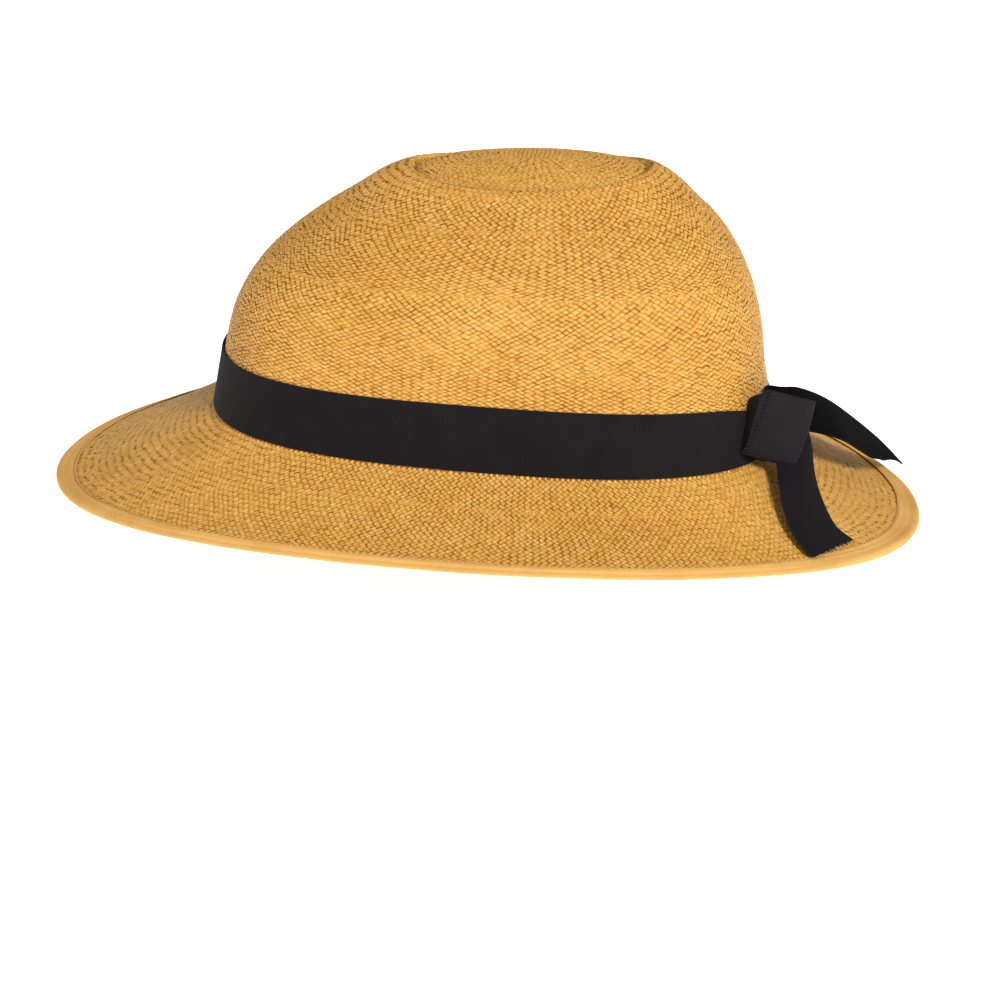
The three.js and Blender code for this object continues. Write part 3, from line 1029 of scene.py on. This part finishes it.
def strip(name, middle, along, across, material):
    """A closed strip of tape from a grid of points on its middle surface, its rows and columns
    these lengths along and across the tape."""
    rows, columns = middle.shape[:2]
    edge = np.ones((rows, columns))
    edge[:, 0] = edge[:, -1] = EDGE_THICK
    half = sheet_normals(middle) * (TAPE_THICK / 2) * edge[..., None]
    points = np.concatenate([(middle + half).reshape(-1, 3), (middle - half).reshape(-1, 3)])
    n = rows * columns
    flat = grid_faces(rows, columns)
    i = np.arange(rows - 1) * columns
    j = np.arange(columns - 1)
    left = np.stack([i, i + columns, i + columns + n, i + n], -1)
    right = left[:, ::-1] + columns - 1
    start = np.stack([j + 1, j + 1 + n, j + n, j], -1)
    end = start[:, ::-1] + (rows - 1) * columns
    faces = np.concatenate([flat[:, ::-1], flat + n, left, right, start, end])
    made = mesh_piece(name, points, faces, material)
    place = np.stack(np.meshgrid(along, across, indexing="ij"), -1).reshape(-1, 2)
    set_map(made, "tape", np.tile(place, (2, 1))[faces.ravel()])
    return made


TAIL_ROWS = 84
TAIL_COLUMNS = 31
LOOSE_THREADS = 70
LOWEST_THREAD = 0.25


def tail(name, rows, cup, cut, node, material):
    """A tail of the bow: tape through its rows, a little hollow across, its end cut and frayed."""
    share = np.linspace(0, 1, TAIL_COLUMNS)
    edges = curve_through(rows, TAIL_ROWS)[:, None]
    middle = edges[..., :3] + (edges[..., 3:] - edges[..., :3]) * share[:, None]
    hollow = cup * 4 * share * (1 - share)
    run = np.linspace(0, 1, TAIL_ROWS)[:, None]
    soft = 0.35 * np.sin(9 * run + 5 * share) * np.sin(math.pi * run) * np.sin(math.pi * share)
    middle = middle + sheet_normals(middle) * (hollow + soft)[..., None]
    step = unit(middle[-1] - middle[-2])
    uneven = rng.normal(0, 0.35, TAIL_COLUMNS)
    middle[-1] += step * (uneven + cut * np.sin(math.pi * share) ** 2)[:, None]
    length = running(gaps(middle[:, TAIL_COLUMNS // 2]))
    made = strip(name, middle, length, BAND_WIDTH * share, material)
    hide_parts(node)
    fray(name + "_fray", middle, step)


def fray(name, middle, step):
    """Loose ends of thread past a tail's cut."""
    count = LOOSE_THREADS
    place = np.sort(rng.uniform(0, TAIL_COLUMNS - 1.001, count))
    k = place.astype(int)
    t = (place - k)[:, None]
    starts = middle[-1][k] * (1 - t) + middle[-1][k + 1] * t
    way = step[k] * (1 - t) + step[k + 1] * t
    normal = sheet_normals(middle)[-1][k]
    starts = starts - way * 0.4 + normal * rng.uniform(-0.25, 0.25, (count, 1))
    ends = starts + way * rng.uniform(0.7, 2.1, (count, 1)) + rng.normal(0, 0.3, (count, 3))
    ends[:, 2] = np.maximum(ends[:, 2], LOWEST_THREAD)
    thread_rods(name, starts, ends, normal, 0.09, black_thread)


def knot_axes():
    out = np.array([math.cos(KNOT_FACES), math.sin(KNOT_FACES), 0])
    level = np.array([-out[1], out[0], 0])
    high = np.array([0, 0, 1])
    lean, rise = math.cos(KNOT_LEAN), math.sin(KNOT_LEAN)
    return level * lean - high * rise, level * rise + high * lean, out


def knot():
    """The bow's knot: tape wrapped once round, with a soft fold at its foot."""
    across, up, out = knot_axes()
    u = np.linspace(0, 1, KNOT_GRID)
    top_left, foot_left, foot_right, side, top_right = KNOT_FACE
    left = top_left + (foot_left - top_left) * u[:, None]
    turns = zip(top_right, side, foot_right)
    right = np.stack([np.interp(u, (0, KNOT_BEND, 1), turn) for turn in turns], -1)
    grid = left[:, None] + (right - left)[:, None] * u[:, None]
    drop = np.zeros((KNOT_GRID, KNOT_GRID))
    for fold, start, end in zip(KNOT_FOLDS, KNOT_FACE, KNOT_FACE[1:]):
        way = unit((end - start)[:2])
        from_edge = np.abs((grid[..., :2] - start[:2]) @ np.array([-way[1], way[0]]))
        near = (1 - from_edge / fold).clip(0, 1)
        drop += fold * (1 - np.sqrt(1 - near**2))
    bulge = np.sin(math.pi * u) * np.sin(math.pi * u)[:, None]
    crease = KNOT_CREASE * np.sin(5 * u + 7 * u[:, None]) * bulge
    grid[..., 2] += KNOT_BULGE * bulge + crease - drop - KNOT_SET_BACK
    points = KNOT_MIDDLE + grid[..., :1] * across + grid[..., 1:2] * up + grid[..., 2:] * out
    width = KNOT_TUCKED + (BAND_WIDTH - KNOT_TUCKED) * u
    made = strip("bow_knot_fold", points[:, ::-1], KNOT_LENGTH * u, width[::-1], knot_tape)
    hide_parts("bow_knot")


UNDER_STEPS = 14
# Layers of tape under the knot's face: depth, size, shift across and shift up.
UNDER_LAYERS = [
    (-1.1, 0.95, 0.2, -0.2), (-2.2, 0.97, 0.3, -0.2), (-2.9, 0.93, 0.5, -0.4),
    (-4.3, 0.96, 0.7, -0.6), (-5.0, 0.92, 0.9, -0.9), (-6.6, 0.95, 1.3, -1.3),
    (-7.3, 0.91, 1.5, -1.6), (-9.0, 0.94, 1.9, -2.1), (-9.7, 0.90, 2.0, -2.3),
    (-11.5, 0.90, 2.2, -2.6),
]
UNDER_ROUNDING = 3  # steps of the outline that share in a corner


def knot_under():
    """The folded layers of tape between the knot's face and the band."""
    across, up, out = knot_axes()
    corners = np.vstack([KNOT_OUTLINE, KNOT_OUTLINE[:1]])
    share = np.arange(UNDER_STEPS)[:, None] / UNDER_STEPS
    outline = np.concatenate([a + (b - a) * share for a, b in zip(corners, corners[1:])])
    turns = range(-(UNDER_ROUNDING // 2), UNDER_ROUNDING // 2 + 1)
    outline = np.mean([np.roll(outline, turn, axis=0) for turn in turns], axis=0)
    middle = outline.mean(0)
    layers = []
    for depth, size, aside, rise in UNDER_LAYERS:
        flat = middle + (outline - middle) * size + (aside, rise)
        layers.append(KNOT_MIDDLE + flat[:, :1] * across + flat[:, 1:] * up + out * depth)
    n = len(outline)
    faces = grid_faces(len(layers), n, closed=True)[:, ::-1]
    made = mesh_piece("bow_knot_under", np.concatenate(layers), faces, tape)
    mesh = bmesh.new()
    mesh.from_mesh(made.data)
    bmesh.ops.holes_fill(mesh, edges=[e for e in mesh.edges if e.is_boundary], sides=0)
    bmesh.ops.triangulate(mesh, faces=[f for f in mesh.faces if len(f.verts) > 4])
    bmesh.ops.recalc_face_normals(mesh, faces=mesh.faces)
    mesh.to_mesh(made.data)
    mesh.free()
    from_middle = np.array([v.co for v in made.data.vertices]) / MM - KNOT_MIDDLE
    place = np.stack([from_middle @ up, from_middle @ across + from_middle @ out], -1)
    index = np.zeros(len(made.data.loops), np.int32)
    made.data.loops.foreach_get("vertex_index", index)
    set_map(made, "tape", place[index])


knot()
knot_under()
tail("bow_tail_front_tape", FRONT_TAIL, 1.2, 0.4, "bow_tail_front", front_tape)
tail("bow_tail_back_tape", BACK_TAIL, -1.0, -5.0, "bow_tail_back", back_tape)


# ---------------------------------------------------------------- floor, light and camera

WORLD_LIGHT = 0.33


def studio():
    bpy.ops.mesh.primitive_plane_add(size=8)
    floor = bpy.context.object
    floor.name = "floor"
    floor.data.materials.append(floor_material())
    world = bpy.data.worlds.new("soft_white")
    bpy.context.scene.world = world
    world.use_nodes = True
    colour, strength = world.node_tree.nodes["Background"].inputs[:2]
    colour.default_value = (1, 1, 1, 1)
    strength.default_value = WORLD_LIGHT
    bpy.context.scene.view_settings.view_transform = "Standard"


def stand(name, data, way, spot, roll=0.0):
    """A lamp or a camera at a spot, looking back against its way."""
    made = bpy.data.objects.new(name, data)
    bpy.context.scene.collection.objects.link(made)
    made.location = spot
    made.rotation_mode = "QUATERNION"
    made.rotation_quaternion = way.to_track_quat("Z", "Y") @ Quaternion((0, 0, 1), roll)
    return made


def sun(name, azimuth, elevation, spread, power):
    """A distant lamp; azimuth counts from +X to +Y, all angles in degrees."""
    a, e = math.radians(azimuth), math.radians(elevation)
    data = bpy.data.lights.new(name, "SUN")
    data.angle = math.radians(spread)
    data.energy = power
    way = Vector((math.cos(a) * math.cos(e), math.sin(a) * math.cos(e), math.sin(e)))
    stand(name, data, way, way * 2)


CAMERA_TARGET = Vector((0, 0, 0.0622))
CAMERA_WAY = Vector((0.9601, 0.0722, 0.2696)).normalized()
CAMERA_DISTANCE = 1.46
CAMERA_ROLL = 0.043


def camera():
    data = bpy.data.cameras.new("camera")
    data.lens = 108.2
    data.sensor_width = 36
    data.shift_x = 0.00795
    data.shift_y = -0.1333
    spot = CAMERA_TARGET + CAMERA_WAY * CAMERA_DISTANCE
    bpy.context.scene.camera = stand("camera", data, CAMERA_WAY, spot, CAMERA_ROLL)


studio()
sun("key", 29, 35, 15, 2.86)
sun("fill", -60, 45, 40, 0.3)
camera()
